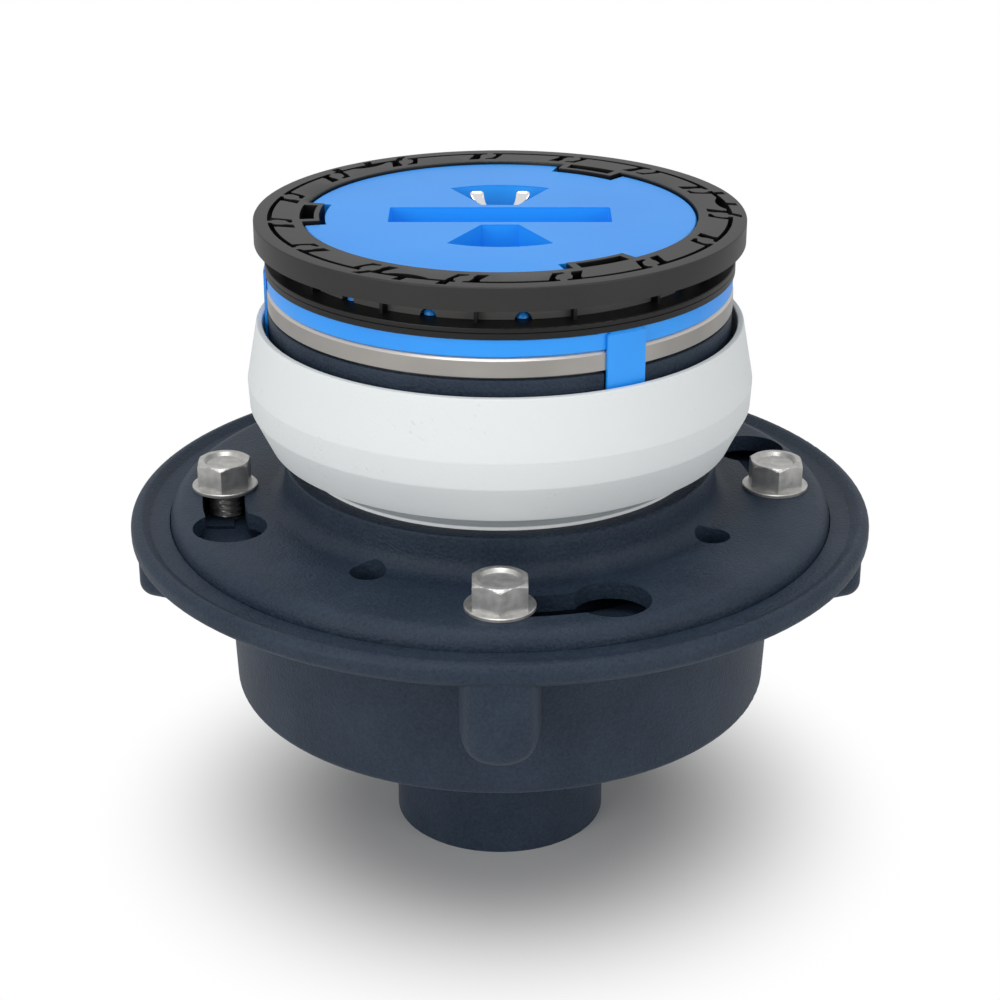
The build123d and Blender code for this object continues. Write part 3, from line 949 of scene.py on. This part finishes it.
@dataclass
class ClampBolts(Assembly):
    """Indented hex washer-head bolts with cut threads, each in place of its plain node."""

    count: int = 4
    flats: float = 13.8 * MM
    head_chamfer: float = 1.0 * MM
    chamfer_foot: float = 8.4 * MM
    chamfer_radius: float = 6.9 * MM
    chamfer_rows: int = 5
    indent_radius: float = 5.6 * MM
    indent_lip: tuple[float, float] = (0.2 * MM, 0.15 * MM)
    indent_floor_radius: float = 4.7 * MM
    indent_centre: float = 1.0 * MM
    indent_depth: float = 0.9 * MM
    washer_round: float = 0.1 * MM
    washer_thick: float = 1.0 * MM
    washer_bevel: float = 0.25 * MM
    washer_edge: float = 0.8 * MM
    under_head: float = 99.75 * MM
    pitch: float = 1.5875 * MM
    thread_depth: float = 0.95 * MM
    thread_power: float = 0.9
    thread_rows: int = 8
    tip_taper: float = 0.6 * MM
    shank_radius: float = 4.76 * MM
    steps: int = 72
    edge_turn: float = 30.0

    def build(self) -> None:
        """Make each bolt where its node is."""
        for number in range(1, self.count + 1):
            node = f"clamp_bolt_{number}"
            low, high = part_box(node)
            loops = [spun_loop(ring, self.steps) for ring in self._rings(low.z, high.z)]
            bolt = lofted_mesh(f"threaded_bolt_{number}", loops)
            bolt.location = ((low.x + high.x) / 2, (low.y + high.y) / 2, 0.0)
            self.coat(bolt, self.palette.bolts, self.edge_turn)
            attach(bolt, "drain")
            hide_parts(node)

    def _hex_radius(self, angle: float) -> float:
        """Return the head's radius at an angle, with a corner towards -Y.

        Args:
            angle: Angle from +X, in radians.

        Returns:
            The radius of the hexagon there.
        """
        sixth = math.pi / 3
        from_flat = (angle + sixth / 2) % sixth - sixth / 2
        return self.flats / 2 / math.cos(from_flat)

    def _thread_radius(self, angle: float, height: float, tip: float) -> float:
        """Return the threaded shank's radius.

        Args:
            angle: Angle from +X, in radians.
            height: Height in the row frame.
            tip: Height of the shank's end.

        Returns:
            The radius, between the thread's root and crest.
        """
        turn = (height / self.pitch + angle / (2 * math.pi)) % 1.0
        depth = self.thread_depth * (1 - abs(2 * turn - 1)) ** self.thread_power
        fade = min(1.0, max(0.0, (height - tip) / self.pitch))
        return self.shank_radius - depth - (1 - fade) * self.tip_taper

    def _rings(self, tip: float, top: float) -> list[Ring]:
        """Return the bolt's rings from the tip to the floor of the indent.

        Args:
            tip: Height of the shank's end.
            top: Height of the head's top.

        Returns:
            One function of the angle for each ring.
        """
        seat, washer = self.under_head, self._washer_radius()
        head_low = seat + self.washer_thick
        rings: list[Ring] = []
        rows = round((seat - tip) / self.pitch * self.thread_rows)
        for row in range(rows + 1):
            height = tip + (seat - tip) * row / rows
            rings.append(lambda angle, z=height: (self._thread_radius(angle, z, tip), z))
        rings += [plain_ring(washer - self.washer_round, seat),
                  plain_ring(washer, seat + self.washer_round),
                  plain_ring(washer, seat + self.washer_edge),
                  plain_ring(washer - self.washer_bevel, head_low)]
        shoulder = top - self.head_chamfer
        rings.append(lambda angle: (self._hex_radius(angle), head_low))
        for row in range(self.chamfer_rows + 1):
            share = row / self.chamfer_rows
            height = shoulder + (top - shoulder) * share
            widest = self.chamfer_foot + (self.chamfer_radius - self.chamfer_foot) * share
            rings.append(lambda angle, r=widest, z=height: (min(self._hex_radius(angle), r), z))
        inset, drop = self.indent_lip
        rings += [plain_ring(self.indent_radius, top),
                  plain_ring(self.indent_radius - inset, top - drop),
                  plain_ring(self.indent_floor_radius, top - self.indent_depth),
                  plain_ring(self.indent_centre, top - self.indent_depth)]
        return rings

    def _washer_radius(self) -> float:
        """Return the washer's radius, half the width of a bolt's box."""
        low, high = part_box("clamp_bolt_1")
        return (high.x - low.x) / 2


@dataclass
class FoamGuard(Assembly):
    """The foam ring round the head, whose shallow steps stay visible edges."""

    edge_turn: float = 9.0

    def build(self) -> None:
        """Dress the ring."""
        self.dress("foam_ring", self.palette.foam, self.edge_turn)


@dataclass
class AdjustableHead(Assembly):
    """Head, frame, strainer and their screws."""

    screws: tuple[str, ...] = ("frame_screw_1", "frame_screw_2", "frame_screw_3",
                               "strainer_screw_1", "strainer_screw_2")

    def build(self) -> None:
        """Dress the head's pieces."""
        self.dress("head_collar", self.palette.iron)
        self.dress("strainer_frame", self.palette.turned)
        self.dress("strainer_plate", self.palette.turned)
        for node in self.screws:
            self.dress(node, self.palette.screws)


@dataclass
class DustCover(Assembly):
    """Blue cover with a wider face on each leg, and the black guide ring that rests on it."""

    leg_turns: tuple[float, ...] = (29.8, 149.8, 269.8)
    face_half: float = 5.5 * MM
    face_inner: float = 62.08 * MM
    face_outer: float = 62.75 * MM
    face_low: float = 131.1 * MM
    face_high: float = 163.8 * MM
    bevel: float = 0.35 * MM
    columns: int = 8

    def build(self) -> None:
        """Dress the two mouldings and face the legs."""
        self.dress("cover_cap", self.palette.blue)
        self.dress("guide_ring", self.palette.black)
        for number, turn in enumerate(self.leg_turns, 1):
            piece = lofted_mesh(f"leg_face_{number}", self._face_loops(math.radians(turn)))
            self.coat(piece, self.palette.blue)
            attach(piece, "cover")

    def _face_loops(self, turn: float) -> list[Loop]:
        """Return the face of a leg, from its foot to the brim.

        Args:
            turn: Turn of the leg from the front, in radians.

        Returns:
            The loops.
        """
        rows = ((self.face_low, self.bevel), (self.face_low + self.bevel, 0.0),
                (self.face_high - self.bevel, 0.0), (self.face_high, self.bevel))
        loops = []
        for height, inset in rows:
            half, outer = self.face_half - inset, self.face_outer - inset
            across = [half * (2 * step / self.columns - 1) for step in range(self.columns + 1)]
            loop = [placed(outer, offset, height, turn) for offset in across]
            loop += [placed(self.face_inner, offset, height, turn) for offset in reversed(across)]
            loops.append(loop)
        return loops


@dataclass
class WingScrew(Assembly):
    """The chromed wing screw: a collared stem and two wings that thin out upwards.

    In millimetres, stem holds radius and height over the seat, and wing holds the depth under
    the wing's upper edge, the inner and the outer reach and half the thickness.
    """

    middle: float = 20.3 * MM
    seat: float = 162.5 * MM
    shank_radius: float = 2.4 * MM
    tip_chamfer: float = 0.6 * MM
    stem: tuple[tuple[float, float], ...] = (
        (4.1, 0.0), (4.5, 0.4), (4.5, 2.6), (4.2, 3.3), (3.2, 4.8), (3.0, 5.4), (3.0, 6.4),
        (2.5, 7.0))
    wing: tuple[tuple[float, float, float, float], ...] = (
        (12.4, 0.2, 3.9, 3.9), (10.0, 0.4, 4.3, 4.1), (8.0, 1.1, 4.7, 3.9),
        (5.8, 2.2, 5.3, 3.4), (4.0, 3.2, 6.0, 2.65), (2.9, 3.8, 6.6, 2.1),
        (2.0, 4.1, 7.9, 1.55), (1.0, 4.3, 8.2, 0.95), (0.3, 4.5, 8.0, 0.5),
        (0.0, 5.0, 7.5, 0.25))
    steps: int = 48
    fineness: int = 4
    slice_steps: int = 28
    slice_power: float = 0.6
    edge_turn: float = 38.0

    def build(self) -> None:
        """Make the screw in place of its plain node."""
        low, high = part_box("wing_screw")
        rings = [spun_loop(plain_ring(*corner), self.steps) for corner in self._corners(low.z)]
        pieces = [lofted_mesh("wing_screw_stem", rings)]
        for number, side in enumerate((1.0, -1.0), 1):
            pieces.append(lofted_mesh(f"wing_{number}", self._wing_loops(high.z, side)))
        for piece in pieces:
            piece.location = (0.0, self.middle, 0.0)
            self.coat(piece, self.palette.chrome, self.edge_turn)
            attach(piece, "wing")
        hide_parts("wing_screw")

    def _corners(self, tip: float) -> list[tuple[float, float]]:
        """Return radius and height of the shank's and the stem's corners, from the tip up."""
        foot = [(self.shank_radius - self.tip_chamfer, tip),
                (self.shank_radius, tip + self.tip_chamfer), (self.shank_radius, self.seat)]
        return foot + [(radius * MM, self.seat + height * MM) for radius, height in self.stem]

    def _wing_loops(self, top: float, side: float) -> list[Loop]:
        """Return one wing: level slices that grow thinner and wider towards the top.

        Args:
            top: Height of the wing's upper edge.
            side: 1 for the wing on +X and -1 for the other.

        Returns:
            The loops.
        """
        loops = []
        for row in range((len(self.wing) - 1) * self.fineness + 1):
            index = min(row // self.fineness, len(self.wing) - 2)
            share = row / self.fineness - index
            drop, inner, outer, half = (
                (a + (b - a) * share) * MM for a, b in zip(self.wing[index], self.wing[index + 1]))
            loops.append(self._slice(top - drop, side * (inner + outer) / 2,
                                     (outer - inner) / 2, half))
        return loops

    def _slice(self, height: float, centre: float, wide: float, half: float) -> Loop:
        """Return one level slice of a wing, a rounded oblong.

        Args:
            height: Height of the slice.
            centre: X of its middle.
            wide: Half its width.
            half: Half its thickness.

        Returns:
            The loop.
        """
        loop = []
        for step in range(self.slice_steps):
            angle = 2 * math.pi * step / self.slice_steps
            x, y = math.cos(angle), math.sin(angle)
            loop.append((centre + wide * math.copysign(abs(x) ** self.slice_power, x),
                         half * math.copysign(abs(y) ** self.slice_power, y), height))
        return loop


class Lamp(Enum):
    """Soft lamps of the studio: place, aim, side length and light level at the aim."""

    OVERHEAD = ((-0.1, -0.35, 1.5), (0.0, 0.0, 0.1), 0.85, 0.38)
    FRONT_LEFT = ((-1.0, -1.1, 0.68), (0.0, 0.0, 0.1), 0.9, 0.37)
    FRONT_RIGHT = ((1.1, -0.9, 0.6), (0.0, 0.0, 0.1), 0.9, 0.25)


@dataclass
class Studio:
    """Floor, lamps, world and camera."""

    distance: float = 569.3922 * MM
    height: float = 341.2034 * MM
    pitch: float = 23.335577
    lens: float = 80.265
    sensor: float = 36.0
    clip: tuple[float, float] = (0.01, 20.0)
    floor_half: float = 3.0
    ambient: float = 0.54
    floor_white: float = 0.93
    # painted shadow: near the drain the floor is painted grey to the camera, fading into white
    # between the inner and outer radius
    shadow_grey: float = 0.58
    shadow_inner: float = 38.0 * MM
    shadow_outer: float = 122.0 * MM

    def build(self) -> None:
        """Make the whole studio."""
        self._camera()
        self._floor()
        self._world()
        for lamp in Lamp:
            self._lamp(lamp)
        bpy.context.scene.view_settings.view_transform = "Standard"
        LOG.info("studio ready")

    def _camera(self) -> None:
        """Put the camera where the photograph was taken."""
        data = bpy.data.cameras.new("camera")
        data.lens, data.sensor_width = self.lens, self.sensor
        data.clip_start, data.clip_end = self.clip
        camera = new_object("camera", data)
        camera.location = (0.0, -self.distance, self.height)
        camera.rotation_euler = (math.radians(90 - self.pitch), 0.0, 0.0)
        bpy.context.scene.camera = camera

    def _floor(self) -> None:
        """Make the pale floor; far out it shows white to the camera, and near the drain it is
        painted grey to the camera, a painted shadow on top of the real one.
        """
        half = self.floor_half
        mesh = bpy.data.meshes.new("floor")
        corners = [(-half, -half, 0), (half, -half, 0), (half, half, 0), (-half, half, 0)]
        mesh.from_pydata(corners, [], [(0, 1, 2, 3)])
        floor = new_object("floor", mesh)
        graph = Graph(bpy.data.materials.new("floor"))
        seen = graph.add("ShaderNodeLightPath", output="Is Camera Ray")
        radius, _ = graph.polar(graph.place())
        settings = {"interpolation_type": "SMOOTHSTEP"}
        reach = {0: radius, 1: self.shadow_inner, 2: self.shadow_outer}
        # Painted shadow: to the camera the floor is grey near the drain and fades into plain white
        # further out.
        clear = seen * graph.add("ShaderNodeMapRange", settings, reach)
        white, grey = (self.floor_white,) * 3, (self.shadow_grey,) * 3
        dull = graph.add("ShaderNodeBsdfDiffuse", {}, {"Color": graph.blend(seen, white, grey)})
        glow = graph.add("ShaderNodeEmission", {}, {"Strength": 1.0})
        both = graph.add("ShaderNodeMixShader", {}, {0: clear, 1: dull, 2: glow})
        graph.add("ShaderNodeOutputMaterial", {}, {"Surface": both})
        mesh.materials.append(graph.owner)

    def _world(self) -> None:
        """Light the surroundings: white to the eye and to gloss, softer as light."""
        graph = Graph(bpy.data.worlds.new("studio"))
        seen = graph.add("ShaderNodeLightPath", output="Is Camera Ray")
        gloss = graph.add("ShaderNodeLightPath", output="Is Glossy Ray")
        level = self.ambient + (1 - self.ambient) * (seen + gloss)
        back = graph.add("ShaderNodeBackground", {}, {"Strength": level})
        graph.add("ShaderNodeOutputWorld", {}, {"Surface": back})
        bpy.context.scene.world = graph.owner

    def _lamp(self, lamp: Lamp) -> None:
        """Hang one square soft lamp.

        Args:
            lamp: Which lamp.
        """
        place, aim, side, level = lamp.value
        away = [a - p for a, p in zip(aim, place)]
        length = math.dist(place, aim)
        data = bpy.data.lights.new(lamp.name.lower(), "AREA")
        data.shape, data.size = "SQUARE", side
        data.energy = level * (math.pi * length) ** 2
        piece = new_object(data.name, data)
        piece.location = place
        turn = math.atan2(-away[0], away[1])
        tilt = math.atan2(math.hypot(away[0], away[1]), -away[2])
        piece.rotation_euler = (tilt, 0.0, turn)


def main() -> None:
    """Build the drain's looks and the studio."""
    logging.basicConfig(level=logging.INFO, format="%(message)s")
    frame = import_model()
    nodes, palette = frame["nodes"], Palette()
    Studio().build()
    for kind in (Casting, ClampBolts, FoamGuard, AdjustableHead, DustCover, WingScrew):
        kind(palette, nodes).build()
        LOG.info("%s done", kind.__name__)


if __name__ == "__main__":
    main()
